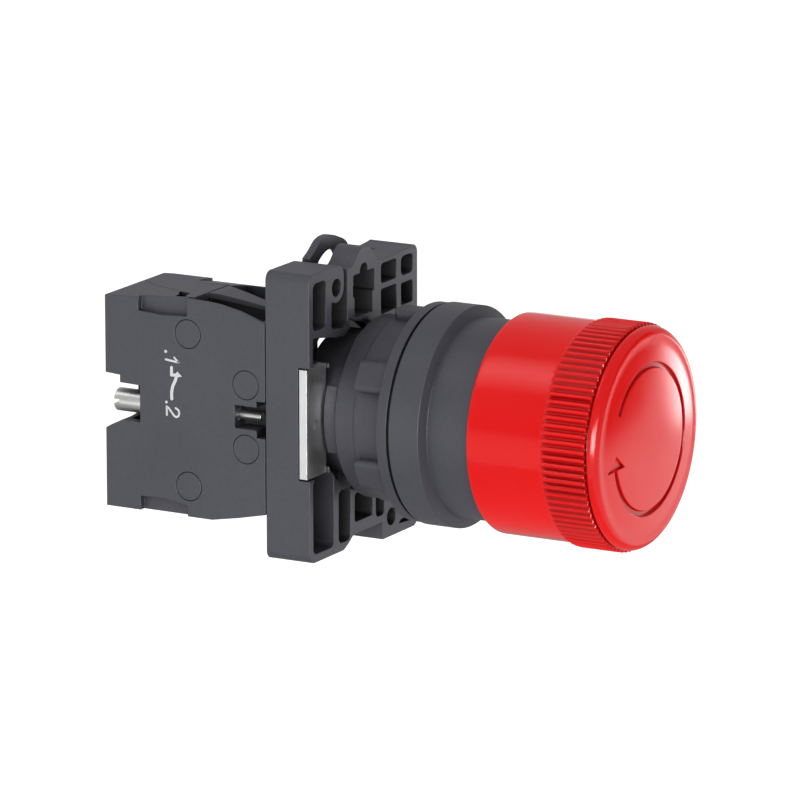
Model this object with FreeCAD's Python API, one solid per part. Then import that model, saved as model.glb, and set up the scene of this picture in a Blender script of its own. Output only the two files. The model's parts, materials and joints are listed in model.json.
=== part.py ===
import FreeCAD, Part
import math
import os

V = FreeCAD.Vector

# Emergency stop button for a 22 mm panel hole: a latching red mushroom head that is turned to
# release, a bezel with a threaded barrel, a round fixing nut, a snap-on mounting collar with a
# locking ring, and one normally closed contact block.
# Frame: origin on the button's axis at the back face of the bezel, front is -Y, +Z up,
# +X to the right seen from the front. Millimetres.

# ---------------------------------------------------------------- driving dimensions
TRAVEL = 4.5            # how far the head is pushed
TWIST = 30.0            # turn that releases the latch, degrees
PIN_LIFT = 0.25         # radial move of a latch pin per millimetre of push

CAP_R = 15.0            # knurled ring of the red cap
CAP_SKIRT_R = 14.53
CAP_REAR = -11.35
CAP_KNURL_0, CAP_KNURL_1 = -22.31, -28.60
CAP_FRONT = -30.62
CAP_BORE_R = 13.50
ARROW_IN, ARROW_OUT = 9.30, 10.05

BEZEL_R, BEZEL_T, BEZEL_CH = 14.67, 4.39, 4.93
NECK_R, NECK_FRONT = 13.22, -20.40
NECK_BORE_R = 11.60
BARREL_R, BARREL_END = 10.95, 9.35
SPIGOT_R, SPIGOT_END = 9.75, 15.85
GUIDE_OUT, GUIDE_IN, GUIDE_FRONT = 8.70, 6.45, -12.50

GASKET_R, GASKET_T = 14.20, 0.40
NUT_FLANGE_R, NUT_FLANGE_Y = 14.50, 1.85
NUT_R, NUT_END = 12.35, 9.60
LOBE_R, LOBE_END, LOBE_HALF, LOBES = 13.65, 6.20, 9.6, 6

SPINDLE_R = 4.25        # rear journal, in the housing's guide bore
SPINDLE_NOSE_R = 2.60   # front journal, in the driver's hub
PIN_Y, PIN_R = -10.0, 0.80

COL_X = 14.48           # collar half width
COL_F, COL_B = 11.73, 18.24
COL_ZTL, COL_ZTR, COL_ZBL, COL_ZBR = 19.8, 18.85, -18.7, -19.6
COL_FLOOR = 14.95       # floor of the front pockets
COL_HOLE_R = 11.40
RING_IN, RING_OUT, RING_0, RING_1 = 10.75, 12.55, 15.95, 18.05
UNLOCK = 12.0           # swing of the locking ring, degrees
LEVER_0, LEVER_1 = 16.95, 18.05   # the lever and its finger loop

BLK_X0, BLK_X1 = -14.5, 0.7
BLK_F, BLK_B = 18.40, 42.60
PLUNGER_X = -7.0        # axis of the contact block's plunger
NOSE = 1.6              # half width of the plunger's nose
TERM_X, TERM_Z = -9.4, 9.3   # axis of the terminal screws

os.makedirs("parts", exist_ok=True)


# ---------------------------------------------------------------- helpers
def cyl(r, y0, y1, x=0.0, z=0.0):
    return Part.makeCylinder(r, y1 - y0, V(x, y0, z), V(0, 1, 0))


def ring(ro, ri, y0, y1, x=0.0, z=0.0):
    return cyl(ro, y0, y1, x, z).cut(cyl(ri, y0 - 1, y1 + 1, x, z))


def box(x0, x1, y0, y1, z0, z1):
    return Part.makeBox(x1 - x0, y1 - y0, z1 - z0, V(x0, y0, z0))


def poly_wire(pts):
    return Part.makePolygon([V(*p) for p in pts] + [V(*pts[0])])


def rev(pts):
    """Solid of revolution about the Y axis from (r, y) points."""
    face = Part.Face(poly_wire([(r, y, 0) for r, y in pts]))
    return face.revolve(V(0, 0, 0), V(0, 1, 0), 360)


def prism_y(pts, y0, y1):
    """Extrusion along Y of an (x, z) polygon."""
    return Part.Face(poly_wire([(x, y0, z) for x, z in pts])).extrude(V(0, y1 - y0, 0))


def prism_x(pts, x0, x1):
    """Extrusion along X of a (y, z) polygon."""
    return Part.Face(poly_wire([(x0, y, z) for y, z in pts])).extrude(V(x1 - x0, 0, 0))


def prism_z(pts, z0, z1):
    """Extrusion along Z of an (x, y) polygon."""
    return Part.Face(poly_wire([(x, y, z0) for x, y in pts])).extrude(V(0, 0, z1 - z0))


def rounded(x0, x1, z0, z1, r, y0, y1):
    """Rectangle in XZ with rounded corners, extruded along Y."""
    b = box(x0, x1, y0, y1, z0, z1)
    edges = [e for e in b.Edges if abs(abs(e.tangentAt(e.FirstParameter).y) - 1) < 1e-6]
    return b.makeFillet(r, edges)


def sector(ro, ri, a0, a1, y0, y1, n=24):
    """Part of a ring from angle a0 to a1 (degrees from +X towards +Z)."""
    body = ring(ro, ri, y0, y1)
    big = ro * 1.6
    pts = [(0.0, 0.0)]
    for k in range(n + 1):
        a = math.radians(a0 + (a1 - a0) * k / n)
        pts.append((big * math.cos(a), big * math.sin(a)))
    return body.common(prism_y(pts, y0 - 1, y1 + 1))


def turned(shape, deg):
    """Copy turned by deg from +X towards +Z."""
    s = shape.copy()
    s.rotate(V(0, 0, 0), V(0, 1, 0), -deg)
    return s


def edges_at(shape, test):
    return [e for e in shape.Edges if test(e)]


def helix_y(r, wire_r, y0, y1, turns, x=0.0, z=0.0):
    """Round-wire coil spring along Y, its wire inside y0..y1."""
    a, b = y0 + wire_r, y1 - wire_r
    pitch = (b - a) / turns
    h = Part.makeHelix(pitch, b - a, r)
    h.Placement = FreeCAD.Placement(V(x, a, z), FreeCAD.Rotation(V(1, 0, 0), -90))
    e0 = h.Edges[0]
    p = e0.valueAt(e0.FirstParameter)
    d = e0.tangentAt(e0.FirstParameter)
    w = Part.Wire([Part.Edge(Part.Circle(p, d, wire_r))])
    ps = Part.BRepOffsetAPI.MakePipeShell(Part.Wire(h.Edges))
    ps.setFrenetMode(True)
    ps.add(w)
    ps.build()
    ps.makeSolid()
    s = ps.shape()
    return s if s.Volume > 0 else s.reversed()


NODES = {}


def put(name, *solids):
    solids = [s for sh in solids for s in (sh.Solids if sh.Solids else [sh])]
    out = solids[0] if len(solids) == 1 else Part.makeCompound(solids)
    NODES[name] = out
    vol = sum(s.Volume for s in out.Solids)
    ok = all(s.isValid() and s.Volume > 0 for s in out.Solids)
    print("%-22s solids %2d  volume %9.2f  valid %s" % (name, len(out.Solids), vol, ok))
    out.exportStep("parts/%s.step" % name)


# ================================================================ head (turns on the spindle)
# Red cap: skirt, knurled ring, rolled rim and slightly dished front with the crown in the middle.
cap = rev([
    (CAP_BORE_R, CAP_REAR), (CAP_SKIRT_R - 0.15, CAP_REAR), (CAP_SKIRT_R, CAP_REAR - 0.2),
    (CAP_SKIRT_R, CAP_KNURL_0), (CAP_R, CAP_KNURL_0 - 0.25), (CAP_R, CAP_KNURL_1),
    (14.72, CAP_KNURL_1 - 0.10), (14.70, CAP_KNURL_1 - 0.55), (14.45, -29.45), (14.05, -29.95),
    (13.55, -30.20), (13.05, -30.22), (12.60, -30.10), (12.20, -30.02), (11.60, -30.06),
    (10.40, -30.22), (8.60, -30.40), (6.50, -30.52), (4.00, -30.60), (0.0, CAP_FRONT),
    (0.0, -27.10), (CAP_BORE_R, -27.10)])
# Engraved turn-to-release arrow: an almost full circle with an open arrow head at its end.
groove = sector(ARROW_OUT, ARROW_IN, -167.0, 150.5, -31.2, -30.00, 60)
barb = prism_y([(-9.30, -0.40), (-7.15, -2.10), (-11.30, -2.35)], -31.2, -30.00)
cap = cap.cut(groove.fuse(barb))
pegs = [cyl(1.0, -27.10, -25.35, 10.9 * math.cos(math.radians(a)), 10.9 * math.sin(math.radians(a)))
        for a in (30, 150, 270)]
for p in pegs:
    cap = cap.fuse(p)
put("push_cap", cap.removeSplitter())

# Driver: disc behind the cap's front wall, hub on the spindle, skirt that slides in the wiper seal.
driver = ring(12.9, SPINDLE_NOSE_R + 0.06, -27.05, -25.60)
driver = driver.fuse(ring(4.40, SPINDLE_NOSE_R + 0.06, -25.60, -20.70))
driver = driver.fuse(ring(9.30, 8.35, -25.60, -17.60))
for a in (30, 150, 270):
    driver = driver.cut(cyl(1.04, -28, -25, 10.9 * math.cos(math.radians(a)), 10.9 * math.sin(math.radians(a))))
driver = driver.cut(cyl(5.2, -27.2, -25.95))
put("cap_driver", driver)

# Release sleeve: its two windows take the latch pins, and their edges lift the pins as it turns.
sleeve = ring(6.05, 5.00, -25.60, -9.00)
sleeve = sleeve.fuse(ring(8.0, 5.00, -25.60, -24.60))
for a in (0, 180):
    sleeve = sleeve.cut(sector(7.0, 4.5, a - 17, a + 47, -16.2, -8.0))
put("release_sleeve", sleeve)

# ================================================================ spindle (slides along +Y)
def cone_r(y):
    return 4.0 - PIN_LIFT * (PIN_Y - y)


spindle = rev([
    (0, -26.75), (2.30, -26.75), (SPINDLE_NOSE_R, -26.45), (SPINDLE_NOSE_R, -26.35), (2.15, -26.35), (2.15, -25.80),
    (SPINDLE_NOSE_R, -25.80), (SPINDLE_NOSE_R, -20.65), (3.60, -20.65), (3.60, -19.60),
    (SPINDLE_NOSE_R, -19.40), (SPINDLE_NOSE_R, -15.60),
    (cone_r(-15.6), -15.60), (cone_r(-9.0), -9.00), (SPINDLE_R, -8.60), (SPINDLE_R, 4.50),
    (3.00, 4.80), (3.00, 12.20), (1.25, 12.20), (1.25, 5.50), (0.0, 4.90)])
put("spindle", spindle)

clip = ring(4.30, 2.18, -26.32, -25.98).cut(box(-1.6, 1.6, -27, -25, 0, 6))
put("driver_circlip", clip)

# Pusher plate: keyed on the spindle's rear end, wide enough for a block left, middle or right.
plate = ring(8.72, 3.0, 10.90, 12.20)
plate = plate.fuse(ring(4.60, 3.0, 7.40, 10.90))
for a in (45, 135, 225, 315):
    plate = plate.fuse(box(-0.5, 0.5, 8.6, 10.9, 4.3, 8.0).rotated(V(0, 0, 0), V(0, 1, 0), a))
put("pusher_plate", plate.removeSplitter())

screw = cyl(2.7, 12.20, 13.50).fuse(cyl(1.22, 5.70, 12.20))
screw = screw.cut(box(-0.4, 0.4, 12.9, 14, -1.9, 1.9)).cut(box(-1.9, 1.9, 12.9, 14, -0.4, 0.4))
put("pusher_screw", screw)

# Torsion spring between the spindle and the driver: brings the cap back after the turn.
put("twist_spring", helix_y(3.15, 0.25, -19.35, -16.60, 4.0))

# ================================================================ housing and panel parts
housing = rev([
    (BEZEL_R - 0.15, 0.0), (BEZEL_R, -0.15), (BEZEL_R, -BEZEL_T), (NECK_R, -BEZEL_CH), (NECK_R, NECK_FRONT + 0.15),
    (NECK_R - 0.15, NECK_FRONT), (NECK_BORE_R, NECK_FRONT), (NECK_BORE_R, -3.20), (GUIDE_OUT, -3.20),
    (GUIDE_OUT, GUIDE_FRONT), (GUIDE_IN, GUIDE_FRONT), (GUIDE_IN, -3.20), (SPINDLE_R + 0.05, -3.20),
    (SPINDLE_R + 0.05, 2.40), (8.60, 2.40), (8.60, BARREL_END), (9.00, BARREL_END + 0.4), (9.15, SPIGOT_END - 0.3),
    (9.45, SPIGOT_END), (SPIGOT_R, SPIGOT_END - 0.3), (SPIGOT_R, BARREL_END),
    (BARREL_R - 0.4, BARREL_END), (BARREL_R, BARREL_END - 0.4), (BARREL_R, 0.0)])
# Pockets for the latch pins, their springs and the retaining ring.
for s in (1, -1):
    housing = housing.cut(Part.makeCylinder(PIN_R + 0.05, 6.0, V(s * 5.5, PIN_Y, 0), V(s, 0, 0)))
# Key on the spigot that sets the collar upright, and the notch the steel plate grips.
housing = housing.fuse(sector(10.50, 9.40, 180 - 24.5, 180 + 26.5, 9.75, 11.85))
housing = housing.cut(box(-12, -9.40, 12.05, 13.30, -7.6, 7.5))
put("bezel_housing", housing.removeSplitter())

seal = rev([(NECK_BORE_R - 0.02, -20.38), (9.90, -20.38), (9.38, -20.10), (9.38, -19.80), (9.90, -19.50),
            (10.40, -18.60), (NECK_BORE_R - 0.02, -18.60)])
put("wiper_seal", seal)

put("panel_gasket", ring(GASKET_R, BARREL_R + 0.02, 0.0, GASKET_T))

# Compression spring from the guide tube's front up to the driver: pushes the head out.
put("return_spring", helix_y(7.45, 0.38, GUIDE_FRONT - 11.95, GUIDE_FRONT - 0.02, 4.5))

# Ring around the guide tube that closes the pin pockets; the pins' springs press on it.
ret = ring(11.55, 11.00, -11.40, -8.60)
put("latch_retainer", ret)

nut = ring(NUT_FLANGE_R, BARREL_R + 0.03, GASKET_T, NUT_FLANGE_Y)
nut = nut.fuse(ring(NUT_R, BARREL_R + 0.03, NUT_FLANGE_Y, 6.40))
nut = nut.fuse(rev([(BARREL_R + 0.03, 6.40), (NUT_R, 6.40), (NUT_R - 0.25, 6.65), (NUT_R - 0.25, NUT_END - 0.35),
                    (NUT_R - 0.6, NUT_END), (BARREL_R + 0.03, NUT_END)]))
for k in range(LOBES):
    a = 90 - 0.75 + 360.0 / LOBES * k
    lobe = sector(LOBE_R, 11.6, a - LOBE_HALF, a + LOBE_HALF, NUT_FLANGE_Y - 0.2, LOBE_END)
    es = [e for e in lobe.Edges if e.BoundBox.YMin > LOBE_END - 1e-3 and
          math.hypot(e.CenterOfMass.x, e.CenterOfMass.z) > 12.5 and abs(
              math.hypot(*[getattr(e.Vertexes[0].Point, c) for c in "xz"]) -
              math.hypot(*[getattr(e.Vertexes[-1].Point, c) for c in "xz"])) > 0.5]
    # the long edges at the lobe's outer corners
    es += [e for e in lobe.Edges if e.BoundBox.YLength > 3 and math.hypot(e.CenterOfMass.x, e.CenterOfMass.z) > LOBE_R - 0.05]
    lobe = lobe.makeFillet(0.7, es)
    nut = nut.fuse(lobe)
put("fixing_nut", nut.removeSplitter())

# ================================================================ latch pins (slide inwards)
for side, s in (("right", 1), ("left", -1)):
    r0 = cone_r(PIN_Y + PIN_R) + 0.12
    pin = Part.makeCylinder(PIN_R, 9.55 - r0, V(s * r0, PIN_Y, 0), V(s, 0, 0))
    put("latch_pin_" + side, pin)
    h = helix_y(0.62, 0.14, 0.0, 1.40, 3.0)
    h.rotate(V(0, 0, 0), V(0, 0, 1), -90 * s)
    h.translate(V(s * 9.57, PIN_Y, 0))
    put("latch_spring_" + side, h)

# ================================================================ mounting collar
def spline_y(curve, rest, y0, y1):
    """Extrusion along Y of a smooth (x, z) curve closed by straight lines."""
    c = Part.BSplineCurve()
    c.interpolate([V(x, y0, z) for x, z in curve])
    pts = [V(curve[-1][0], y0, curve[-1][1])] + [V(x, y0, z) for x, z in rest] + [V(curve[0][0], y0, curve[0][1])]
    edges = [c.toShape()] + [Part.makeLine(pts[i], pts[i + 1]) for i in range(len(pts) - 1)]
    return Part.Face(Part.Wire(edges)).extrude(V(0, y1 - y0, 0))


def outline(y0, y1):
    left = rounded(-COL_X, -1.0, COL_ZBL, COL_ZTL, 1.2, y0, y1)
    right = rounded(-4.35, COL_X, COL_ZBR, COL_ZTR, 1.2, y0, y1)
    # the bottom edge steps up between the two halves
    right = right.cut(box(-4.5, 5.0, y0 - 1, y1 + 1, -21, -17.2))
    left = left.cut(prism_y([(-5.5, -20), (-5.5, -18.7), (-4.3, -18.1), (-2.9, -17.2), (0, -17.2), (0, -20)], y0 - 1, y1 + 1))
    left = left.cut(box(-4.35, 0, y0 - 1, y1 + 1, 0, 21))
    # corner beside the gap, on the same curve as the gap's edge
    left = left.cut(prism_y([(-4.35, 18.85), (-5.34, 18.85), (-5.45, 19.0), (-5.75, 19.40), (-6.3, 19.65), (-7.0, 19.79), (-7.4, 21.0),
                             (-4.35, 21.0)], y0 - 1, y1 + 1))
    # the top edge falls towards the middle on the right, and is square at the gap
    right = right.cut(prism_y([(3.0, 18.40), (5.0, 18.42), (8.0, 18.45), (12.6, 18.74), (13.2, 18.86), (13.2, 20), (3.0, 20)],
                              y0 - 1, y1 + 1))
    right = right.fuse(box(-4.35, -3.0, y0, y1, COL_ZTR - 1.4, COL_ZTR))
    return left.fuse(right)


col = outline(COL_F, COL_B)
# rounded bump over the middle window, flaring into the edge on both sides
col = col.fuse(spline_y([(-4.2, COL_ZTR), (-3.4, 18.88), (-2.87, 19.12), (-2.4, 19.52), (-1.92, 20.02), (-1.35, 20.60), (-0.72, 20.96),
                         (0.0, 21.08), (0.71, 20.99), (1.35, 20.79), (1.9, 20.47), (2.4, 20.04), (2.86, 19.57), (3.4, 19.02),
                         (4.0, 18.65), (4.8, 18.42)], [(4.8, 17.4), (-4.2, 17.4)], COL_F, 15.35))
col = col.removeSplitter()
D = COL_FLOOR
cuts = [cyl(COL_HOLE_R, COL_F - 1, COL_B + 1)]
# top left
cuts.append(rounded(-13.5, -10.0, 12.2, 18.55, 0.9, COL_F - 1, D + 1.8))
arc = [(-7.3 + 2.0 * math.cos(math.radians(a)), 16.93 + 2.0 * math.sin(math.radians(a))) for a in range(236, 361, 12)]
cuts.append(prism_y([(-4.35, 21.0), (-4.35, 11.9), (-4.6, 11.55), (-5.4, 11.15), (-8.2, 11.55), (-8.6, 11.9), (-8.6, 15.0)] + arc +
                    [(-5.31, 17.2), (-5.34, 18.55), (-5.45, 19.0), (-5.75, 19.40), (-6.3, 19.65), (-7.0, 19.79), (-7.4, 21.0)],
                    COL_F - 1, D))
cuts.append(cyl(1.2, COL_F - 1, 15.6, -7.30, 16.93))
cuts.append(prism_y([(-13.5, 9.1), (-8.0, 9.1), (-8.0, 10.5), (-10.3, 10.85), (-13.2, 11.35), (-13.5, 11.1)], COL_F - 1, COL_B + 1))
cuts.append(prism_y([(-13.5, 7.25), (-4.0, 7.25), (-4.0, 10.15), (-5.5, 10.15), (-9.0, 10.5), (-10.3, 10.85), (-13.2, 11.35), (-13.5, 11.1)],
                    COL_F - 1, D))
# the bore opens upwards beside the gap
cuts.append(prism_y([(-3.75, 12.2), (-3.5, 12.1), (-2.6, 11.62), (1.0, 11.12), (1.0, 9.0), (-3.75, 9.0)], COL_F - 1, 13.4))
# top middle
cuts.append(rounded(-2.9, 2.9, 14.7, 17.7, 0.35, COL_F - 1, D))
cuts.append(box(-2.5, 2.4, COL_F - 1, D, 11.9, 15.0))
cuts.append(cyl(1.05, COL_F - 1, D, 0, 17.85))
# top right
cuts.append(rounded(4.6, 8.8, 15.2, 17.9, 0.5, COL_F - 1, D))
cuts.append(rounded(10.0, 13.3, 15.2, 17.8, 0.8, COL_F - 1, D))
cuts.append(rounded(4.6, 8.8, 11.0, 14.45, 0.35, COL_F - 1, D))
cuts.append(rounded(10.0, 13.2, 11.2, 14.2, 0.35, COL_F - 1, D))
# right side, below
cuts.append(rounded(11.9, 13.4, 2.0, 9.4, 0.5, COL_F - 1, D))
cuts.append(rounded(11.9, 13.4, -9.4, -2.0, 0.5, COL_F - 1, D))
cuts.append(rounded(9.6, 13.2, -17.4, -11.0, 0.8, COL_F - 1, D))
# bottom left
cuts.append(rounded(-13.6, -8.1, -17.6, -7.5, 0.9, COL_F - 1, D + 1.6))
cuts.append(rounded(-6.9, -3.7, -17.6, -10.4, 0.9, COL_F - 1, D + 1.6))
# bottom middle and right
cuts.append(rounded(-2.6, 2.2, -15.6, -11.7, 0.4, COL_F - 1, D + 1.6))
cuts.append(rounded(3.1, 5.4, -16.2, -11.2, 0.7, COL_F - 1, D))
cuts.append(cyl(1.2, COL_F - 1, 16.5, 7.30, -16.93))
cuts.append(prism_y([(9.3, -18.35), (12.6, -18.6), (12.6, -17.9), (10.0, -17.9)], COL_F - 1, D))
# seat of the steel plate in the left side, with a thin gap all round it
cuts.append(box(-COL_X - 1, -9.3, COL_F - 1, 13.40, -7.60, 7.50))
# room for the locking ring and the swing of its lever, open to the rear
cuts.append(cyl(RING_OUT + 0.35, RING_0 - 0.15, COL_B + 1))
cuts.append(sector(26, 12.6, 90 - 16.4 - UNLOCK, 90 + 17.2, 15.45, COL_B + 1))
tool = cuts[0].multiFuse(cuts[1:])
col = col.cut(tool)
# pad that hangs down into the bore, with its tip right of the middle
col = col.fuse(prism_y([(1.2, 11.0), (2.6, 10.4), (4.2, 9.92), (5.0, 9.86), (7.6, 10.35), (8.6, 11.2), (5.0, 11.0), (3.0, 11.9), (1.2, 12.0)],
                       COL_F, D))
# pads that centre the spigot
for a in (25, 245, 295, 335):
    col = col.fuse(sector(COL_HOLE_R + 0.3, SPIGOT_R + 0.03, a - 9, a + 9, 12.2, D, 6))
col = col.removeSplitter()
solids = sorted(col.Solids, key=lambda s: -s.Volume)
put("collar_body", solids[0])
print("  collar offcuts:", [round(s.Volume, 3) for s in solids[1:]])

# Thin steel plate that grips the spigot's notch.
lp = box(-14.5, -9.45, 12.12, 13.22, -7.35, 7.25)
lp = lp.cut(Part.makeSphere(1.6, V(-12.2, 10.68, -0.3)))
put("lock_plate", lp)

# Locking ring with its lever: a sector plate and an arched finger loop above the collar's top.
lr = ring(RING_OUT, RING_IN, RING_0, RING_1)
arm = sector(18.6, RING_OUT - 0.5, 90 - 15.6, 90 + 15.6, LEVER_0, LEVER_1)
loop = spline_y([(-5.15, 19.80), (-4.6, 20.08), (-3.9, 20.46), (-3.2, 20.93), (-2.6, 21.38), (-1.9, 21.75), (-0.94, 21.98),
                 (0.12, 22.02), (1.2, 21.87), (2.24, 21.52), (3.84, 20.90), (4.7, 20.35), (5.15, 19.7)],
                [(5.05, 17.6), (-5.05, 17.6)], LEVER_0, LEVER_1)
eye = spline_y([(-3.35, 17.2), (-3.2, 18.2), (-2.77, 18.97), (-2.1, 19.46), (-1.04, 19.96), (-0.24, 20.14), (0.6, 20.1), (1.7, 19.85),
                (2.6, 19.3), (3.1, 18.4), (3.3, 17.2)], [(-3.35, 17.2)][:0], LEVER_0 - 1, LEVER_1 + 1)
lr = lr.fuse(arm.fuse(loop).cut(eye))
put("lock_ring", lr.removeSplitter())

# ================================================================ contact block
side = [(18.4, 12.8), (22.0, 14.0), (25.0, 14.6), (27.0, 14.8), (30.0, 14.9), (42.6, 14.2),
        (42.6, 3.75), (40.5, 3.6), (40.5, -2.35), (42.6, -3.75), (42.6, -14.3), (26.5, -14.4), (22.6, -13.7), (18.4, -12.8)]
WALL = 1.25
inner_yz = [(19.7, 11.4), (23.0, 12.3), (27.0, 13.3), (41.3, 12.9), (41.3, 4.9), (39.45, 4.9), (39.45, -4.9), (41.3, -4.9),
            (41.3, -13.0), (26.5, -13.1), (22.6, -12.4), (19.7, -11.5)]

near = prism_x(side, BLK_X0, -4.35)
near = near.cut(prism_x(inner_yz, BLK_X0 + WALL, -4.0))
far = prism_x(side, -4.25, BLK_X1)
far = far.cut(prism_x(inner_yz, -5.0, BLK_X1 - WALL))
# the far shell laps over the near one along a slanting top joint
lap = prism_z([(-4.3, 44.0), (-4.3, 42.6), (-7.2, 39.2), (-9.95, 33.8), (-10.8, 31.7), (-12.6, 31.4), (-13.0, 30.6), (-13.0, 29.75),
               (1, 29.75), (1, 44)], 13.15, 16)
lap_top = prism_x([(29.75, 13.0), (29.75, 14.87), (35.2, 14.62), (42.6, 14.2), (42.6, 13.2)], -13.0, -4.25)
near = near.cut(prism_z([(-4.2, 44.0), (-4.4, 42.6), (-7.3, 39.2), (-10.05, 33.8), (-11.8, 32.9), (-13.2, 32.7),
                         (-13.2, 31.3), (-13.1, 17.0), (1, 17), (1, 44)], 11.2, 16))
far = far.fuse(lap_top.common(lap))
# in front of the lap the roof keeps clear of the near wall: that gap takes the wires
roof = prism_x([(18.4, 11.0), (21, 11.5), (25, 11.85), (28, 11.95), (30.4, 11.95), (30.4, 14.6), (29.3, 14.88), (28.2, 14.9), (25, 14.55),
                (21, 13.97), (18.4, 13.45)], -9.8, -0.5)
far = far.fuse(roof)
# trough in the roof, wider towards the front, beside a raised strip
far = far.cut(prism_z([(-8.9, 17.5), (-5.2, 28.9), (-0.55, 28.9), (-0.55, 17.5)], 12.5, 17))
far = far.cut(prism_x([(17.5, 10.5), (17.5, 12.75), (21.0, 13.40), (24.8, 13.85), (28.5, 14.12), (29.7, 14.15), (29.7, 10.5)], -10.0, -8.8))
# the far half's top slopes down to the outside
far = far.cut(Part.Face(poly_wire([(-4.25, 17.0, 14.88), (0.9, 17.0, 13.88), (0.9, 17.0, 17.0), (-4.25, 17.0, 17.0)])).extrude(V(0, 18.1, 0)))
far = far.cut(Part.Face(poly_wire([(-4.25, 35.0, 14.92), (0.9, 35.0, 14.26), (0.9, 35.0, 17.0), (-4.25, 35.0, 17.0)])).extrude(V(0, 9, 0)))
# chamfered front corner on the far side
far = far.cut(prism_z([(-0.6, 18.3), (0.8, 18.3), (0.8, 20.9)], -16, 16))
# wire gaps beside the near wall, top and bottom
near = near.cut(box(-14.0, -9.8, 18.9, 30.4, 10.8, 16))
near = near.cut(box(-14.0, -9.8, 20.0, 30.2, -16, -10.8))
# rear notch with the screw, front slot, and the flush plugs' seats
near = near.cut(prism_x([(37.35, 2.5), (37.35, -2.5), (40.1, -2.4), (43.5, -4.1), (43.5, 3.8), (40.4, 3.6), (40.4, 2.6)], BLK_X0 - 1, -9.6))
# walls round the screw's recess
near = near.fuse(prism_x([(36.2, 5.0), (36.2, -5.2), (37.35, -5.2), (37.35, 5.0)], BLK_X0, -9.1))
near = near.fuse(prism_x([(36.2, 5.0), (36.2, -5.2), (40.5, -5.2), (40.5, 5.0)], -9.7, -9.1))
near = near.fuse(prism_x([(36.2, 3.7), (41.3, 3.7), (41.3, 5.0), (36.2, 5.0)], BLK_X0, -9.1))
near = near.fuse(prism_x([(36.2, -3.9), (41.3, -3.9), (41.3, -5.2), (36.2, -5.2)], BLK_X0, -9.1))
near = near.cut(prism_x([(37.35, 2.5), (37.35, -2.5), (40.1, -2.4), (43.5, -4.1), (43.5, 3.8), (40.4, 3.6), (40.4, 2.6)], BLK_X0 - 1, -9.7))
near = near.fuse(box(BLK_X0 + 0.3, -11.0, 19.0, 24.2, -2.9, 2.9))
slot = box(BLK_X0 - 1, -11.6, 19.6, 23.0, -1.6, 1.5).fuse(box(BLK_X0 - 1, -11.6, 17.5, 19.7, -2.6, 2.3))
near = near.cut(slot)
near = near.fuse(ring(1.7, 1.06, 24.2, 36.3, -12.75, -0.1).common(box(BLK_X0, -11.0, 24, 37, -3, 3)))
near = near.cut(cyl(1.06, 22.9, 38.5, -12.75, -0.1))
# shallow recesses at the wire entries
for pts in ([(30.1, 12.55), (34.0, 12.35), (37.5, 12.6), (37.5, 16), (30.1, 16)],
            [(30.2, -12.9), (34.0, -12.35), (37.4, -12.4), (37.4, -16), (30.2, -16)]):
    near = near.cut(prism_x(pts, BLK_X0 - 1, BLK_X0 + 0.9))
plug_pos = [(30.0, 10.2), (30.0, -10.3), (21.3, 4.3), (21.3, -4.3)]
plugs = []
for y, z in plug_pos:
    near = near.cut(Part.makeCylinder(1.98, 0.9, V(BLK_X0 - 0.1, y, z), V(1, 0, 0)))
    plugs.append(Part.makeCylinder(1.88, 0.78, V(BLK_X0 + 0.0, y, z), V(1, 0, 0)))
# screwdriver holes in the rear face
for s in (1, -1):
    near = near.cut(cyl(2.35, 38.0, 44.0, TERM_X, s * TERM_Z))
# the plunger's way through the front face
pl = box(PLUNGER_X - NOSE - 0.2, PLUNGER_X + NOSE + 0.2, 18, 21, -1.7, 1.7)
near = near.cut(pl)
far = far.cut(pl)
near = near.cut(far)
near = near.removeSplitter()
far = far.removeSplitter()
ns = sorted(near.Solids, key=lambda s: -s.Volume)
fs = sorted(far.Solids, key=lambda s: -s.Volume)
put("block_near_cover", ns[0])
print("  near offcuts:", [(round(s.Volume, 3), [round(v, 1) for v in s.BoundBox.Center]) for s in ns[1:]])
put("block_far_body", fs[0])
print("  far offcuts:", [(round(s.Volume, 3), [round(v, 1) for v in s.BoundBox.Center]) for s in fs[1:]])
put("block_pins", *plugs)

ms = cyl(1.55, 37.40, 41.50, -12.75, -0.1).fuse(cyl(1.0, 23.4, 37.4, -12.75, -0.1)).fuse(cyl(0.55, 19.75, 23.4, -12.75, -0.1))
ms = ms.cut(box(-15, -10, 40.7, 42, -0.4, 0.2))
put("mounting_screw", ms)

# Terminals: screw, clamp and copper strip, top and bottom.
scr, clp, fix, tips = [], [], [], []
for s in (1, -1):
    z = TERM_Z * s
    sc = cyl(2.2, 30.2, 32.2, TERM_X, z).fuse(cyl(1.3, 25.2, 30.2, TERM_X, z))
    sc = sc.cut(box(TERM_X - 0.4, TERM_X + 0.4, 31.4, 33, z - 2.5, z + 2.5))
    scr.append(sc)
    cl = box(-12.9, -6.6, 29.3, 30.15, *sorted((s * 7.0, s * 11.7)))
    cl = cl.cut(cyl(1.36, 29, 31, TERM_X, z))
    clp.append(cl)
    # the strip runs from under the clamp to the fixed contact
    st = box(-13.1, -5.3, 27.0, 27.8, *sorted((s * 3.6, s * 11.7)))
    st = st.cut(cyl(1.34, 26, 29, TERM_X, z))
    fix.append(st)
    tips.append(cyl(1.1, 27.8, 28.4, PLUNGER_X, s * 4.75))
put("terminal_screws", *scr)
put("terminal_clamps", *clp)
put("fixed_contacts", *fix)
put("fixed_tips", *tips)

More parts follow.
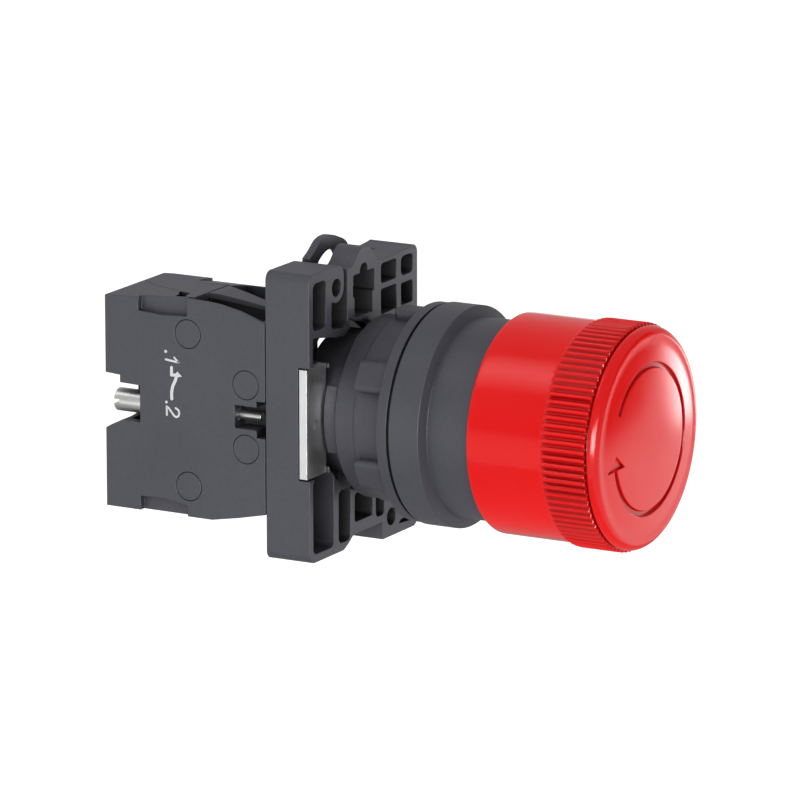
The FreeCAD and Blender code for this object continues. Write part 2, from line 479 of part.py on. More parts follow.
# Carrier: nose through the front face, stem, and a window that carries the bridge.
car = box(PLUNGER_X - NOSE, PLUNGER_X + NOSE, 12.30, 21.4, -1.5, 1.5)
car = car.fuse(box(PLUNGER_X - 2.4, PLUNGER_X + 2.4, 21.4, 31.6, -2.6, 2.6))
car = car.cut(box(PLUNGER_X - 1.7, PLUNGER_X + 1.7, 28.0, 30.6, -3, 3))
car = car.makeChamfer(0.4, [e for e in car.Edges if abs(e.BoundBox.YMax - 12.30) < 1e-6 and e.BoundBox.YLength < 1e-6])
put("contact_carrier", car)
br = box(PLUNGER_X - 1.6, PLUNGER_X + 1.6, 29.08, 29.88, -6.1, 6.1)
put("contact_bridge", br)
put("bridge_tips", *[cyl(1.1, 28.46, 29.08, PLUNGER_X, s * 4.75) for s in (1, -1)])
put("carrier_spring", helix_y(1.6, 0.22, 31.63, 39.40, 6.0, PLUNGER_X, 0))

print(len(NODES), "nodes")
bb = FreeCAD.BoundBox()
for s in NODES.values():
    bb.add(s.BoundBox)
print("box", [round(v, 2) for v in (bb.XMin, bb.XMax, bb.YMin, bb.YMax, bb.ZMin, bb.ZMax)])
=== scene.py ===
import bpy
import bmesh
import json
import math
import numpy as np
from mathutils import Matrix, Vector


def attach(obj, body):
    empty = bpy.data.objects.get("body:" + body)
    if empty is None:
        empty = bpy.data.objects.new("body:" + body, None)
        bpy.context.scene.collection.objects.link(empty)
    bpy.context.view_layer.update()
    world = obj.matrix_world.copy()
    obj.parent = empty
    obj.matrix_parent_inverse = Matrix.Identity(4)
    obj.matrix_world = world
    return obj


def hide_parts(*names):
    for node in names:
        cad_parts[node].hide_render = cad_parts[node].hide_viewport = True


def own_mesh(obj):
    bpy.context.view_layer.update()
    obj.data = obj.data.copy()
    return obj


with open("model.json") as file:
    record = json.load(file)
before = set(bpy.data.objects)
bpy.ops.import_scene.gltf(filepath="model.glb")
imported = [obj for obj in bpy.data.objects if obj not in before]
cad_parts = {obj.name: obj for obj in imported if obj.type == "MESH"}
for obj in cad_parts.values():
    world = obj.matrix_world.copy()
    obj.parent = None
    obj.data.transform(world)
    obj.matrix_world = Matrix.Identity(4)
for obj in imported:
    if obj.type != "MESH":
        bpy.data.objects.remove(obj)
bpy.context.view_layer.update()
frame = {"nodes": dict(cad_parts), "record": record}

MM = 0.001
nodes = frame["nodes"]
scene = bpy.context.scene

# ================================================================ camera
F_PX = 7500.0
AZ, EL, ROLL = math.radians(-60.94), math.radians(13.24), math.radians(-0.09)
cam_data = bpy.data.cameras.new("camera")
cam_data.sensor_width = 36.0
cam_data.lens = F_PX * 36.0 / 800.0
cam_data.clip_start = 0.05
cam_data.clip_end = 30.0
cam = bpy.data.objects.new("camera", cam_data)
scene.collection.objects.link(cam)
fwd = Vector((0.85091, 0.47278, -0.22897)).normalized()
right = fwd.cross(Vector((0, 0, 1))).normalized()
up = right.cross(fwd)
m = Matrix((right, up, -fwd)).transposed().to_4x4()
m = Matrix.Translation(Vector((-0.836663, -0.458541, 0.226176))) @ m @ Matrix.Rotation(ROLL, 4, "Z")
cam.matrix_world = m
scene.camera = cam
scene.view_settings.view_transform = "Standard"
scene.view_settings.look = "None"
scene.view_settings.exposure = 0.0
scene.view_settings.gamma = 1.0


# ================================================================ node helpers
def new_material(name):
    mat = bpy.data.materials.new(name)
    mat.use_nodes = True
    nt = mat.node_tree
    nt.nodes.clear()
    out = nt.nodes.new("ShaderNodeOutputMaterial")
    bsdf = nt.nodes.new("ShaderNodeBsdfPrincipled")
    nt.links.new(bsdf.outputs["BSDF"], out.inputs["Surface"])
    return mat, nt, bsdf


def node(nt, kind, **values):
    n = nt.nodes.new(kind)
    for k, v in values.items():
        if hasattr(n, k):
            setattr(n, k, v)
        else:
            n.inputs[k].default_value = v
    return n


def coords(nt, scale=(1, 1, 1)):
    tc = nt.nodes.new("ShaderNodeTexCoord")
    mp = nt.nodes.new("ShaderNodeMapping")
    mp.inputs["Scale"].default_value = scale
    nt.links.new(tc.outputs["Object"], mp.inputs["Vector"])
    return mp.outputs["Vector"]


def noise(nt, vec, scale, detail=3.0, rough=0.55, distortion=0.0):
    n = nt.nodes.new("ShaderNodeTexNoise")
    n.inputs["Scale"].default_value = scale
    n.inputs["Detail"].default_value = detail
    n.inputs["Roughness"].default_value = rough
    n.inputs["Distortion"].default_value = distortion
    nt.links.new(vec, n.inputs["Vector"])
    return n.outputs["Fac"]


def ramp(nt, fac, stops):
    r = nt.nodes.new("ShaderNodeValToRGB")
    el = r.color_ramp.elements
    while len(el) < len(stops):
        el.new(0.5)
    for e, (p, c) in zip(el, stops):
        e.position = p
        e.color = (*c, 1) if len(c) == 3 else c
    nt.links.new(fac, r.inputs["Fac"])
    return r.outputs["Color"]


def remap(nt, fac, a, b, c, d):
    r = nt.nodes.new("ShaderNodeMapRange")
    for k, v in zip(("From Min", "From Max", "To Min", "To Max"), (a, b, c, d)):
        r.inputs[k].default_value = v
    nt.links.new(fac, r.inputs["Value"])
    return r.outputs["Result"]


def mathn(nt, op, a, b=None, clamp=False):
    n = nt.nodes.new("ShaderNodeMath")
    n.operation = op
    n.use_clamp = clamp
    for i, v in enumerate((a, b)):
        if v is None:
            continue
        if isinstance(v, (int, float)):
            n.inputs[i].default_value = v
        else:
            nt.links.new(v, n.inputs[i])
    return n.outputs[0]


def mix(nt, fac, a, b, blend="MIX"):
    n = nt.nodes.new("ShaderNodeMix")
    n.data_type = "RGBA"
    n.blend_type = blend
    for s, v in ((n.inputs[0], fac), (n.inputs[6], a), (n.inputs[7], b)):
        if isinstance(v, (int, float)):
            s.default_value = v
        elif isinstance(v, tuple):
            s.default_value = (*v, 1) if len(v) == 3 else v
        else:
            nt.links.new(v, s)
    return n.outputs[2]


def soft_edges(nt, radius_mm, samples=6):
    b = nt.nodes.new("ShaderNodeBevel")
    b.samples = samples
    b.inputs["Radius"].default_value = radius_mm * MM
    return b.outputs["Normal"]


def edge_mask(nt, bevel_normal, lo=0.03, hi=0.30):
    """0 on flat faces, 1 where a rounded edge turns away from the face."""
    g = nt.nodes.new("ShaderNodeNewGeometry")
    d = nt.nodes.new("ShaderNodeVectorMath")
    d.operation = "DOT_PRODUCT"
    nt.links.new(bevel_normal, d.inputs[0])
    nt.links.new(g.outputs["True Normal"], d.inputs[1])
    inv = mathn(nt, "SUBTRACT", 1.0, d.outputs["Value"])
    return remap(nt, inv, lo, hi, 0.0, 1.0)


def bump(nt, bsdf, height, strength, distance_mm, normal=None):
    b = nt.nodes.new("ShaderNodeBump")
    b.inputs["Strength"].default_value = strength
    b.inputs["Distance"].default_value = distance_mm * MM
    nt.links.new(height, b.inputs["Height"])
    if normal is not None:
        nt.links.new(normal, b.inputs["Normal"])
    nt.links.new(b.outputs["Normal"], bsdf.inputs["Normal"])
    return b.outputs["Normal"]


# ================================================================ materials
def painted_cavity_shade(nt, normal=None, reach_mm=4.0, lo=0.10, hi=0.75, floor=0.35):
    """Painted shade: darker tone in deep pockets and gaps, taken from ambient occlusion; 1 on open faces."""
    ao = nt.nodes.new("ShaderNodeAmbientOcclusion")
    ao.samples = 12
    ao.inputs["Distance"].default_value = reach_mm * MM
    if normal is not None:
        nt.links.new(normal, ao.inputs["Normal"])
    return remap(nt, ao.outputs["AO"], lo, hi, floor, 1.0)


def plastic(name, dark, light, rough=(0.40, 0.52), bevel=0.16, grain=0.25, spec=0.4, edge=None, reach=4.0, deep=0.30,
            lo=0.12):
    """Moulded plastic with a fine spark-eroded grain, faint flow mottling, slightly brighter edges (part rubbed wear,
    part painted edge highlight) and painted shade in pockets and gaps.
    """
    mat, nt, bsdf = new_material(name)
    vec = coords(nt)
    blotch = noise(nt, vec, 90.0, 3.0, 0.5, 0.3)
    fine = noise(nt, vec, 2600.0, 2.0, 0.6)
    grainy = noise(nt, vec, 5200.0, 2.0, 0.7)
    col = ramp(nt, blotch, [(0.30, dark), (0.72, light)])
    col = mix(nt, 0.035, col, ramp(nt, fine, [(0.25, (0, 0, 0)), (0.8, (0.35, 0.35, 0.36))]), "ADD")
    nrm = None
    if bevel:
        nrm = soft_edges(nt, bevel)
        # Painted edge highlight, partly rubbed wear: rounded edges are mixed towards a lighter colour.
        if edge is not None:
            e = mathn(nt, "MULTIPLY", edge_mask(nt, nrm), remap(nt, blotch, 0.3, 0.7, 0.35, 0.8))
            col = mix(nt, e, col, edge)
    # Painted shade: the base colour is darkened by ambient occlusion in pockets and gaps.
    col = mix(nt, 1.0, col, painted_cavity_shade(nt, None, reach, lo, 0.80, deep), "MULTIPLY")
    nt.links.new(col, bsdf.inputs["Base Color"])
    nt.links.new(remap(nt, mathn(nt, "ADD", mathn(nt, "MULTIPLY", blotch, 0.6), mathn(nt, "MULTIPLY", fine, 0.4)),
                       0.3, 0.7, *rough), bsdf.inputs["Roughness"])
    bsdf.inputs["Specular IOR Level"].default_value = spec
    bump(nt, bsdf, grainy, grain, 0.010, nrm)
    return mat


grey = plastic("grey_moulded", (0.0590, 0.0596, 0.0775), (0.0650, 0.0656, 0.0845), rough=(0.46, 0.56), spec=0.34,
               edge=(0.082, 0.082, 0.098), reach=6.0, deep=0.12)
# Same colours as the grey plastic, with deeper painted shade in the collar's pockets.
grey_collar_deep_shade = plastic("grey_collar_deep_shade", (0.0590, 0.0596, 0.0775), (0.0650, 0.0656, 0.0845), rough=(0.46, 0.56), spec=0.34,
                      edge=(0.082, 0.082, 0.098), reach=6.0, deep=0.06, lo=0.26)
# Painted shade: a darker copy of the grey plastic, standing for the shadow the collar casts on the nut.
grey_nut_shaded = plastic("grey_nut_shaded", (0.0520, 0.0526, 0.0680), (0.0570, 0.0576, 0.0740), rough=(0.46, 0.56), spec=0.34,
                   edge=(0.074, 0.074, 0.088), reach=9.0, deep=0.08)
dark = plastic("dark_moulded", (0.018, 0.018, 0.020), (0.028, 0.028, 0.031), rough=(0.38, 0.5),
               edge=(0.05, 0.05, 0.055))


def red_material(name):
    """Glossy red moulding: deep clean colour, faint orange peel and fine handling marks in the gloss, with painted
    shade in small gaps, in the knurl's rib valleys and in the arrow groove.
    """
    mat, nt, bsdf = new_material(name)
    vec = coords(nt)
    blotch = noise(nt, vec, 120.0, 3.0, 0.6, 0.5)
    peel = noise(nt, vec, 900.0, 2.0, 0.5)
    marks = noise(nt, coords(nt, (1.0, 3.0, 1.0)), 2200.0, 3.0, 0.6)
    col = ramp(nt, blotch, [(0.30, (0.935, 0.0036, 0.0040)), (0.72, (0.965, 0.0050, 0.0055))])
    # Painted shade: the red is darkened by ambient occlusion in small gaps.
    col = mix(nt, 1.0, col, painted_cavity_shade(nt, None, 1.0, 0.30, 0.85, 0.20), "MULTIPLY")
    # Painted shade: the base colour is mixed towards a deep dark red by the cap's mesh attribute, deepest in the
    # knurl's rib valleys and the arrow groove.
    at = nt.nodes.new("ShaderNodeAttribute")
    at.attribute_name = "painted_groove_shade"
    col = mix(nt, remap(nt, at.outputs["Fac"], 0.0, 1.0, 0.0, 0.42), col, (0.24, 0.0012, 0.0015))
    nt.links.new(col, bsdf.inputs["Base Color"])
    r = mathn(nt, "ADD", remap(nt, blotch, 0.3, 0.7, 0.135, 0.160), remap(nt, marks, 0.45, 0.75, 0.0, 0.02))
    nt.links.new(r, bsdf.inputs["Roughness"])
    bsdf.inputs["Specular IOR Level"].default_value = 0.25
    bump(nt, bsdf, peel, 0.06, 0.010)
    return mat


red = red_material("red_gloss")


def rubber_material(name):
    mat, nt, bsdf = new_material(name)
    vec = coords(nt)
    n1 = noise(nt, vec, 700.0, 3.0, 0.6)
    n2 = noise(nt, vec, 4500.0, 2.0, 0.7)
    nt.links.new(ramp(nt, n1, [(0.3, (0.002, 0.002, 0.002)), (0.75, (0.004, 0.004, 0.004))]), bsdf.inputs["Base Color"])
    nt.links.new(remap(nt, n2, 0.3, 0.7, 0.6, 0.8), bsdf.inputs["Roughness"])
    bsdf.inputs["Specular IOR Level"].default_value = 0.15
    bump(nt, bsdf, n2, 0.4, 0.015, soft_edges(nt, 0.08, 4))
    return mat


rubber = rubber_material("black_rubber")


def metal(name, a, b, rough, brush=(1, 1, 1), grain=2200.0, bevel=0.08, strength=0.25, dirt=None):
    """Metal with fine scratches along one direction and slow changes of tone."""
    mat, nt, bsdf = new_material(name)
    vec = coords(nt)
    slow = noise(nt, vec, 260.0, 3.0, 0.6, 0.6)
    lines = noise(nt, coords(nt, brush), grain, 4.0, 0.65)
    col = ramp(nt, slow, [(0.30, a), (0.70, b)])
    nt.links.new(col, bsdf.inputs["Base Color"])
    bsdf.inputs["Metallic"].default_value = 1.0
    nt.links.new(remap(nt, mathn(nt, "ADD", mathn(nt, "MULTIPLY", slow, 0.5), mathn(nt, "MULTIPLY", lines, 0.5)),
                       0.3, 0.7, *rough), bsdf.inputs["Roughness"])
    bump(nt, bsdf, lines, strength, 0.006, soft_edges(nt, bevel, 4))
    return mat


zinc = metal("zinc_plate", (0.55, 0.55, 0.545), (0.63, 0.63, 0.62), (0.28, 0.42), (1, 1, 0.06))
wire = metal("spring_wire", (0.42, 0.42, 0.43), (0.56, 0.56, 0.57), (0.22, 0.36), (1, 0.2, 1))
copper = metal("copper_strip", (0.66, 0.42, 0.24), (0.78, 0.53, 0.32), (0.25, 0.4), (1, 0.1, 1))
silver = metal("silver_tip", (0.80, 0.80, 0.78), (0.90, 0.90, 0.88), (0.2, 0.32), (1, 1, 1))

by_slot = {"red_plastic": red, "grey_plastic": grey, "dark_plastic": dark, "black_rubber": rubber, "steel": zinc,
           "spring_steel": wire, "copper_alloy": copper, "silver_contact": silver}
slots = {s["node"]: s["material_slot"] for s in frame["record"]["subparts"]}
for name, ob in nodes.items():
    for s in ob.material_slots:
        s.material = {"fixing_nut": grey_nut_shaded, "collar_body": grey_collar_deep_shade}.get(name, by_slot[slots[name]])


# ================================================================ red cap
def smooth(t):
    t = min(1.0, max(0.0, t))
    return t * t * (3 - 2 * t)


RIBS = 90
RIB_PHASE = math.radians(2.3)          # angle of a valley, front view from +X towards +Z
KNURL_0, KNURL_1 = -22.31, -28.60

# outer skin from the rear edge to the centre of the front: (radius, y, rib depth)
PROFILE = [
    (13.56, -11.45, 0), (13.70, -11.38, 0), (14.00, -11.36, 0), (14.30, -11.38, 0), (14.44, -11.44, 0), (14.51, -11.55, 0),
    (14.53, -11.75, 0), (14.53, -13.0, 0), (14.53, -16.0, 0), (14.53, -19.0, 0), (14.53, -21.6, 0),
    (14.54, -22.05, 0.00), (14.57, -22.20, 0.03), (14.66, -22.32, 0.10), (14.80, -22.44, 0.20), (14.92, -22.56, 0.28),
    (14.98, -22.75, 0.33), (15.00, -23.0, 0.35), (15.00, -24.0, 0.35), (15.00, -25.5, 0.35), (15.00, -27.0, 0.35),
    (15.00, -28.2, 0.35), (14.99, -28.46, 0.35), (14.95, -28.54, 0.33), (14.86, -28.60, 0.27), (14.66, -28.63, 0.14),
    (14.42, -28.65, 0.03), (14.32, -28.69, 0), (14.30, -28.76, 0), (14.38, -28.83, 0), (14.54, -28.88, 0),
]
# rolled rim
for k in range(1, 15):
    a = math.radians(-8 + 98.0 * k / 14)
    PROFILE.append((13.52 + 1.12 * math.cos(a), -29.10 - 1.14 * math.sin(a), 0))
PROFILE += [(13.34, -30.240, 0), (13.16, -30.238, 0), (13.00, -30.235, 0), (12.84, -30.234, 0), (12.68, -30.235, 0),
            (12.54, -30.238, 0), (12.40, -30.243, 0), (12.25, -30.252, 0)]


def crown(r):
    """Front face inside the rim: a shallow dome."""
    return -30.252 - 0.42 * (1 - (r / 12.25) ** 3.0) if r < 12.25 else -30.252


ARROW_IN, ARROW_OUT, ARROW_DEPTH = 9.30, 10.05, 0.42
A_TAIL, A_HEAD = 150.5, 193.0          # degrees, the groove runs clockwise over the top from tail to head
TIP, B1, B2 = (-9.30, -0.40), (-7.15, -2.10), (-11.30, -2.35)


def seg_dist(p, a, b):
    ax, ay = a
    bx, by = b
    t = ((p[0] - ax) * (bx - ax) + (p[1] - ay) * (by - ay)) / ((bx - ax) ** 2 + (by - ay) ** 2)
    t = min(1, max(0, t))
    return math.hypot(p[0] - ax - t * (bx - ax), p[1] - ay - t * (by - ay))


def tri_sd(x, z):
    """Signed distance to the arrow head, negative inside."""
    pts = [TIP, B1, B2]
    d = min(seg_dist((x, z), pts[i], pts[(i + 1) % 3]) for i in range(3))
    s = [(pts[(i + 1) % 3][0] - pts[i][0]) * (z - pts[i][1]) - (pts[(i + 1) % 3][1] - pts[i][1]) * (x - pts[i][0])
         for i in range(3)]
    inside = all(v <= 0 for v in s) or all(v >= 0 for v in s)
    return -d if inside else d


def groove_depth(r, deg):
    """How deep the engraved arrow is at a point of the face."""
    a = deg % 360
    # distance to the arc groove
    if A_TAIL < a < A_HEAD:
        end = min(a - A_TAIL, A_HEAD - a)
        ang = math.radians(end) * r
        rr = max(abs(r - (ARROW_IN + ARROW_OUT) / 2) - (ARROW_OUT - ARROW_IN) / 2, 0)
        d = math.hypot(ang, rr)
    else:
        d = abs(r - (ARROW_IN + ARROW_OUT) / 2) - (ARROW_OUT - ARROW_IN) / 2
    x, z = r * math.cos(math.radians(a)), r * math.sin(math.radians(a))
    if 6.5 < r < 12.1 and 175 < a < 205:
        d = min(d, tri_sd(x, z))
    return ARROW_DEPTH * (1 - smooth((d + 0.10) / 0.16))


def build_cap():
    # columns: eight per rib, more around the arrow head and the groove's tail
    base = np.arange(0, 360, 360.0 / (RIBS * 8))
    extra = np.concatenate([np.arange(178, 200, 0.125), np.arange(148.5, 152.5, 0.125)])
    ang = np.unique(np.round(np.concatenate([base, extra]), 4))
    n = len(ang)
    rows = []          # each a list of n (x, y, z)
    painted_groove_shade = []          # painted shade: 0 on open skin, 1 at the bottom of a rib valley or of the arrow
    for r, y, depth in PROFILE:
        row = []
        for a in ang:
            c = 0.5 - 0.5 * math.cos((math.radians(a) - RIB_PHASE) * RIBS)   # 0 in a valley, 1 on a crest
            c = c ** 0.75
            rr = r - 1.35 * depth * (1 - c)
            t = math.radians(a)
            row.append((rr * math.cos(t), y, rr * math.sin(t)))
            painted_groove_shade.append(min(1.0, depth / 0.30) * smooth(1.25 * (1 - c)))
        rows.append(row)
    radii = list(np.arange(12.0, 11.7, -0.15)) + list(np.arange(11.6, 7.0, -0.07)) + [6.6, 6.0, 5.2, 4.4, 3.6, 2.8, 2.0, 1.2, 0.5]
    for e in (ARROW_IN, ARROW_OUT):
        radii += [e - 0.09, e - 0.045, e, e + 0.045, e + 0.09]
    radii = sorted(set(round(float(v), 4) for v in radii), reverse=True)
    keep = [radii[0]]
    for v in radii[1:]:
        if keep[-1] - v > 0.02:
            keep.append(v)
    for r in keep:
        row = []
        for a in ang:
            g = groove_depth(r, a) if 6.8 < r < 12.1 else 0
            y = crown(r) + g
            painted_groove_shade.append(0.5 * g / ARROW_DEPTH)
            t = math.radians(a)
            row.append((r * math.cos(t), y, r * math.sin(t)))
        rows.append(row)
    verts = [p for row in rows for p in row]
    faces = []
    for i in range(len(rows) - 1):
        for j in range(n):
            k = (j + 1) % n
            faces.append((i * n + j, i * n + k, (i + 1) * n + k, (i + 1) * n + j))
    verts.append((0, crown(0), 0))
    c = len(verts) - 1
    last = (len(rows) - 1) * n
    for j in range(n):
        faces.append((last + j, last + (j + 1) % n, c))
    # inside: from the rear edge in to the bore, up to the front wall and across it
    inner = [(13.50, -11.60), (13.50, -14.0), (13.50, -20.0), (13.50, -26.7), (13.42, -27.0), (13.2, -27.10), (10.0, -27.10),
             (5.0, -27.10), (0.8, -27.10)]
    step = [j for j in range(n)]
    start = len(verts)
    for r, y in inner:
        for a in ang:
            t = math.radians(a)
            verts.append((r * math.cos(t), y, r * math.sin(t)))
    prev = 0
    for i in range(len(inner)):
        cur = start + i * n
        for j in step:
            k = (j + 1) % n
            faces.append((cur + j, cur + k, prev + k, prev + j))
        prev = cur
    verts.append((0, -27.10, 0))
    c2 = len(verts) - 1
    for j in step:
        faces.append((prev + (j + 1) % n, prev + j, c2))
    me = bpy.data.meshes.new("cap_shell")
    me.from_pydata([(x * MM, y * MM, z * MM) for x, y, z in verts], [], faces)
    # Painted shade of the rib valleys and the arrow groove, stored on the mesh for the red material.
    layer = me.attributes.new("painted_groove_shade", "FLOAT", "POINT")
    layer.data.foreach_set("value", painted_groove_shade + [0.0] * (len(verts) - len(painted_groove_shade)))
    bm = bmesh.new()
    bm.from_mesh(me)
    bmesh.ops.recalc_face_normals(bm, faces=bm.faces)
    bm.to_mesh(me)
    bm.free()
    for p in me.polygons:
        p.use_smooth = True
    ob = bpy.data.objects.new("cap_shell", me)
    scene.collection.objects.link(ob)
    me.materials.append(red)
    return ob


cap = build_cap()
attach(cap, "head")
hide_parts("push_cap")

# ================================================================ coil springs
def coil(name, r, wire_r, y0, y1, turns, x=0.0, z=0.0):
    """Round-wire coil along Y between y0 and y1, with flat closed ends."""
    ring_n, steps = 10, int(turns * 48)
    a, b = y0 + wire_r, y1 - wire_r
    bm = bmesh.new()
    rings = []
    for i in range(steps + 1):
        t = i / steps
        ang = 2 * math.pi * turns * t
        pitch = (b - a) / (2 * math.pi * turns)
        c = Vector((x + r * math.cos(ang), a + (b - a) * t, z + r * math.sin(ang)))
        tangent = Vector((-r * math.sin(ang), pitch, r * math.cos(ang))).normalized()
        out = Vector((math.cos(ang), 0, math.sin(ang)))
        side = tangent.cross(out).normalized()
        rings.append([bm.verts.new((c + (out * math.cos(k) + side * math.sin(k)) * wire_r) * MM)
                      for k in (2 * math.pi * j / ring_n for j in range(ring_n))])
    for p, q in zip(rings, rings[1:]):
        for j in range(ring_n):
            k = (j + 1) % ring_n
            bm.faces.new((p[j], p[k], q[k], q[j]))
    bm.faces.new(rings[0][::-1])
    bm.faces.new(rings[-1])
    bmesh.ops.recalc_face_normals(bm, faces=bm.faces)
    for f in bm.faces:
        f.smooth = True
    me = bpy.data.meshes.new(name)
    bm.to_mesh(me)
    bm.free()
    me.materials.append(wire)
    ob = bpy.data.objects.new(name, me)
    scene.collection.objects.link(ob)
    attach(ob, "housing")
    return ob


push_coil = coil("return_spring_coil", 7.45, 0.38, -24.45, -12.52, 4.5)
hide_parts("return_spring")
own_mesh(push_coil)
carrier_coil = coil("carrier_spring_coil", 1.6, 0.22, 31.63, 39.40, 6.0, -7.0, 0.0)
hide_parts("carrier_spring")
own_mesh(carrier_coil)

# ================================================================ contact marks printed on the block
def ink_material():
    mat, nt, bsdf = new_material("white_print")
    vec = coords(nt)
    n1 = noise(nt, vec, 1500.0, 3.0, 0.6)
    n2 = noise(nt, vec, 5200.0, 2.0, 0.7)
    nt.links.new(ramp(nt, n1, [(0.30, (0.74, 0.74, 0.75)), (0.70, (0.84, 0.84, 0.84))]), bsdf.inputs["Base Color"])
    nt.links.new(remap(nt, n2, 0.3, 0.7, 0.5, 0.65), bsdf.inputs["Roughness"])
    bump(nt, bsdf, n2, 0.2, 0.008)
    return mat


def stroke(bm, pts, width, x0=-14.495, x1=-14.53):
    """Thin raised line with round ends and joints along (y, z) points, outward on -X."""
    h = width / 2
    for i, (y, z) in enumerate(pts):
        disc = [(y + h * math.cos(math.radians(a)), z + h * math.sin(math.radians(a))) for a in range(0, 360, 20)]
        plate(bm, disc, x0, x1)
        if i + 1 < len(pts):
            y2, z2 = pts[i + 1]
            d = math.hypot(y2 - y, z2 - z)
            ny, nz = -(z2 - z) / d * h, (y2 - y) / d * h
            plate(bm, [(y + ny, z + nz), (y - ny, z - nz), (y2 - ny, z2 - nz), (y2 + ny, z2 + nz)], x0, x1 + 0.001)


def plate(bm, pts, x0, x1):
    lo = [bm.verts.new((x0 * MM, y * MM, z * MM)) for y, z in pts]
    hi = [bm.verts.new((x1 * MM, y * MM, z * MM)) for y, z in pts]
    bm.faces.new(lo)
    bm.faces.new(hi[::-1])
    for i in range(len(pts)):
        k = (i + 1) % len(pts)
        bm.faces.new((lo[i], hi[i], hi[k], lo[k]))


def mark(name, strokes, shapes=()):
    bm = bmesh.new()
    for pts, width in strokes:
        stroke(bm, pts, width)
    for pts in shapes:
        plate(bm, pts, -14.495, -14.531)
    bmesh.ops.recalc_face_normals(bm, faces=bm.faces)
    me = bpy.data.meshes.new(name)
    bm.to_mesh(me)
    bm.free()
    me.materials.append(ink)
    ob = bpy.data.objects.new(name, me)
    scene.collection.objects.link(ob)
    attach(ob, "housing")
    return ob


ink = ink_material()
mark("mark_contact_1", [([(33.35, 7.53)], 0.42), ([(33.34, 6.45), (31.40, 6.25)], 0.28), ([(31.42, 6.27), (32.07, 6.85)], 0.24)])
mark("mark_nc_symbol", [([(32.48, 5.45), (32.50, 4.46), (31.88, 4.50)], 0.42),
                        ([(31.72, 4.42), (31.95, 3.70), (32.33, 2.95), (32.50, 2.15), (32.48, 1.26)], 0.44)],
     [[(31.60, 5.00), (30.92, 4.40), (31.75, 4.18), (32.00, 4.55)]])
mark("mark_contact_2", [([(33.30, 0.72)], 0.38),
                        ([(33.25, -1.00), (33.27, 0.12), (32.95, -0.05), (32.15, -1.00), (31.82, -1.15), (31.50, -1.00),
                          (31.36, -0.60), (31.46, -0.18), (31.90, 0.05)], 0.27)])

# ================================================================ floor, light
FLOOR_Z = -0.10


def floor_material():
    mat, nt, bsdf = new_material("floor_paper")
    vec = coords(nt)
    n1 = noise(nt, vec, 3.0, 2.0)
    n2 = noise(nt, vec, 600.0, 2.0)
    nt.links.new(ramp(nt, n1, [(0.3, (0.86, 0.86, 0.86)), (0.7, (0.90, 0.90, 0.90))]), bsdf.inputs["Base Color"])
    nt.links.new(remap(nt, n2, 0.3, 0.7, 0.8, 0.95), bsdf.inputs["Roughness"])
    bsdf.inputs["Specular IOR Level"].default_value = 0.1
    bsdf.inputs["Emission Color"].default_value = (1, 1, 1, 1)
    bsdf.inputs["Emission Strength"].default_value = FLOOR_GLOW
    return mat


FLOOR_GLOW = 0.58
fm = bpy.data.meshes.new("floor")
S = 8.0
fm.from_pydata([(-S, -S, FLOOR_Z), (S, -S, FLOOR_Z), (S, S, FLOOR_Z), (-S, S, FLOOR_Z)], [], [(0, 1, 2, 3)])
floor = bpy.data.objects.new("floor", fm)
floor.visible_diffuse = False
scene.collection.objects.link(floor)
fm.materials.append(floor_material())

# even studio light, brighter overhead than at the horizon
world = bpy.data.worlds.new("studio")
world.use_nodes = True
wt = world.node_tree
bg = wt.nodes["Background"]
tc = wt.nodes.new("ShaderNodeTexCoord")
sep = wt.nodes.new("ShaderNodeSeparateXYZ")
wt.links.new(tc.outputs["Generated"], sep.inputs[0])
wr = wt.nodes.new("ShaderNodeValToRGB")
el = wr.color_ramp.elements
el[0].position, el[0].color = 0.0, (0.80, 0.80, 0.80, 1)
el[1].position, el[1].color = 1.0, (0.42, 0.42, 0.42, 1)
for p, v in ((0.47, 0.84), (0.53, 0.32), (0.675, 0.42)):
    e = el.new(p)
    e.color = (v, v, v, 1)
half = wt.nodes.new("ShaderNodeMapRange")
half.inputs["From Min"].default_value = -1.0
wt.links.new(sep.outputs["Z"], half.inputs["Value"])
wt.links.new(half.outputs["Result"], wr.inputs["Fac"])
wt.links.new(wr.outputs["Color"], bg.inputs["Color"])
bg.inputs["Strength"].default_value = 1.37
scene.world = world


def softbox(name, loc, target, size_x, size_y, watts, color=(1, 1, 1)):
    ld = bpy.data.lights.new(name, "AREA")
    ld.shape = "RECTANGLE"
    ld.size, ld.size_y = size_x, size_y
    ld.energy = watts
    ld.color = color
    ob = bpy.data.objects.new(name, ld)
    scene.collection.objects.link(ob)
    ob.location = loc
    d = Vector(target) - Vector(loc)
    ob.rotation_euler = d.to_track_quat("-Z", "Y").to_euler()
    return ob


softbox("top_back_left", (-0.40, 0.50, 0.86), (0, 0, 0), 0.60, 0.60, 2.2).visible_glossy = False


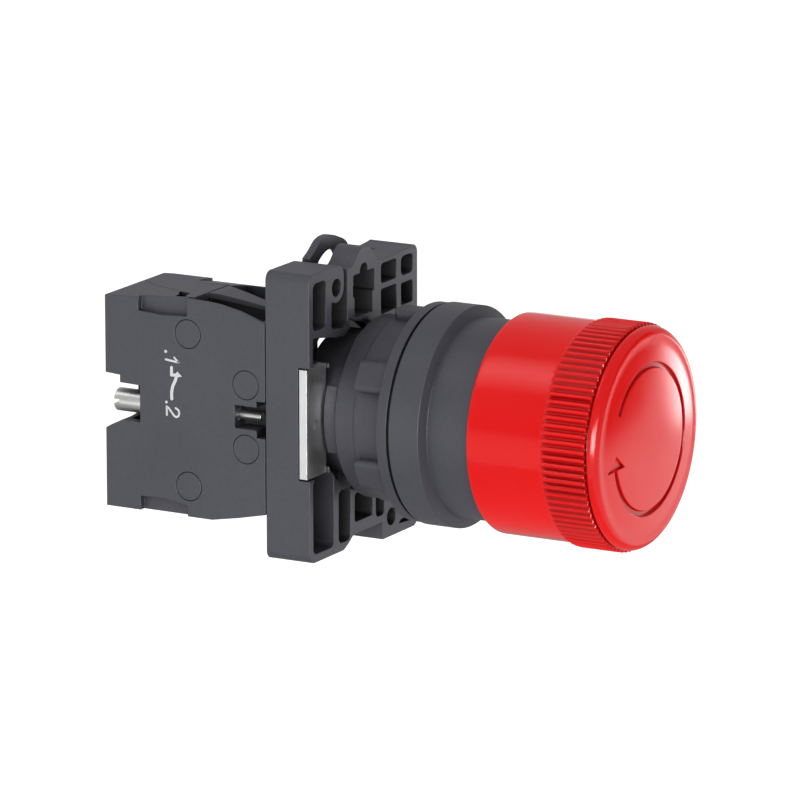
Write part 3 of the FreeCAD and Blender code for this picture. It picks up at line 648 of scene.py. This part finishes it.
def card(name, loc, width, height, shade, target=(0, -0.03, 0)):
    """Reflection card: only seen in the gloss of the red plastic, never by the camera."""
    w, h = width / 2, height / 2
    me = bpy.data.meshes.new(name)
    me.from_pydata([(-w, -h, 0), (w, -h, 0), (w, h, 0), (-w, h, 0)], [], [(0, 1, 2, 3)])
    ob = bpy.data.objects.new(name, me)
    scene.collection.objects.link(ob)
    ob.location = loc
    ob.rotation_euler = (Vector(target) - Vector(loc)).to_track_quat("-Z", "Y").to_euler()
    mat, nt, bsdf = new_material(name)
    nt.links.new(ramp(nt, noise(nt, coords(nt), 6.0, 2.0), [(0.3, (shade,) * 3), (0.7, (shade * 1.1,) * 3)]), bsdf.inputs["Base Color"])
    bsdf.inputs["Roughness"].default_value = 0.9
    bsdf.inputs["Specular IOR Level"].default_value = 0.0
    me.materials.append(mat)
    ob.visible_camera = False
    ob.visible_diffuse = False
    ob.visible_shadow = False
    ob.visible_transmission = False
    return ob


card("flag_right_front", (0.145, -0.1677, 0.0138), 0.134, 0.118, 0.01)


def glow_card(name, loc, width, height, strength, hard=0.25):
    """Soft-edged light panel that only shows in the gloss."""
    w, h = width / 2, height / 2
    me = bpy.data.meshes.new(name)
    me.from_pydata([(-w, -h, 0), (w, -h, 0), (w, h, 0), (-w, h, 0)], [], [(0, 1, 2, 3)])
    ob = bpy.data.objects.new(name, me)
    scene.collection.objects.link(ob)
    ob.location = loc
    ob.rotation_euler = (Vector((0, -0.03, 0)) - Vector(loc)).to_track_quat("Z", "Y").to_euler()
    mat, nt, bsdf = new_material(name)
    sp = nt.nodes.new("ShaderNodeSeparateXYZ")
    nt.links.new(coords(nt, (1 / w, 1 / h, 1)), sp.inputs[0])
    d = mathn(nt, "MAXIMUM", mathn(nt, "ABSOLUTE", sp.outputs["X"]), mathn(nt, "ABSOLUTE", sp.outputs["Y"]))
    col = ramp(nt, d, [(hard, (1, 1, 1)), (1.0, (0, 0, 0))])
    nt.links.new(col, bsdf.inputs["Emission Color"])
    nt.links.new(mix(nt, 0.5, col, (0.02, 0.02, 0.02), "MULTIPLY"), bsdf.inputs["Base Color"])
    bsdf.inputs["Emission Strength"].default_value = strength
    bsdf.inputs["Roughness"].default_value = 0.9
    bsdf.inputs["Specular IOR Level"].default_value = 0.0
    me.materials.append(mat)
    ob.visible_camera = False
    ob.visible_diffuse = False
    ob.visible_shadow = False
    ob.visible_transmission = False
    return ob


glow_card("panel_left_front", (-0.76, -0.52, 0.02), 1.25, 0.64, 26.0, 0.3)
glow_card("panel_right", (0.28, -0.1265, -0.050), 0.070, 0.060, 11.0, 0.30)
glow_card("panel_top_back", (-0.38, 0.50, 0.86), 0.60, 0.70, 2.6, 0.15)
card("flag_below", (0.07, 0.06, -0.092), 0.46, 0.30, 0.50, (0.07, 0.06, 0.0))
glow_card("panel_right_low", (0.155, -0.127, -0.0813), 0.18, 0.078, 1.1, 0.93)
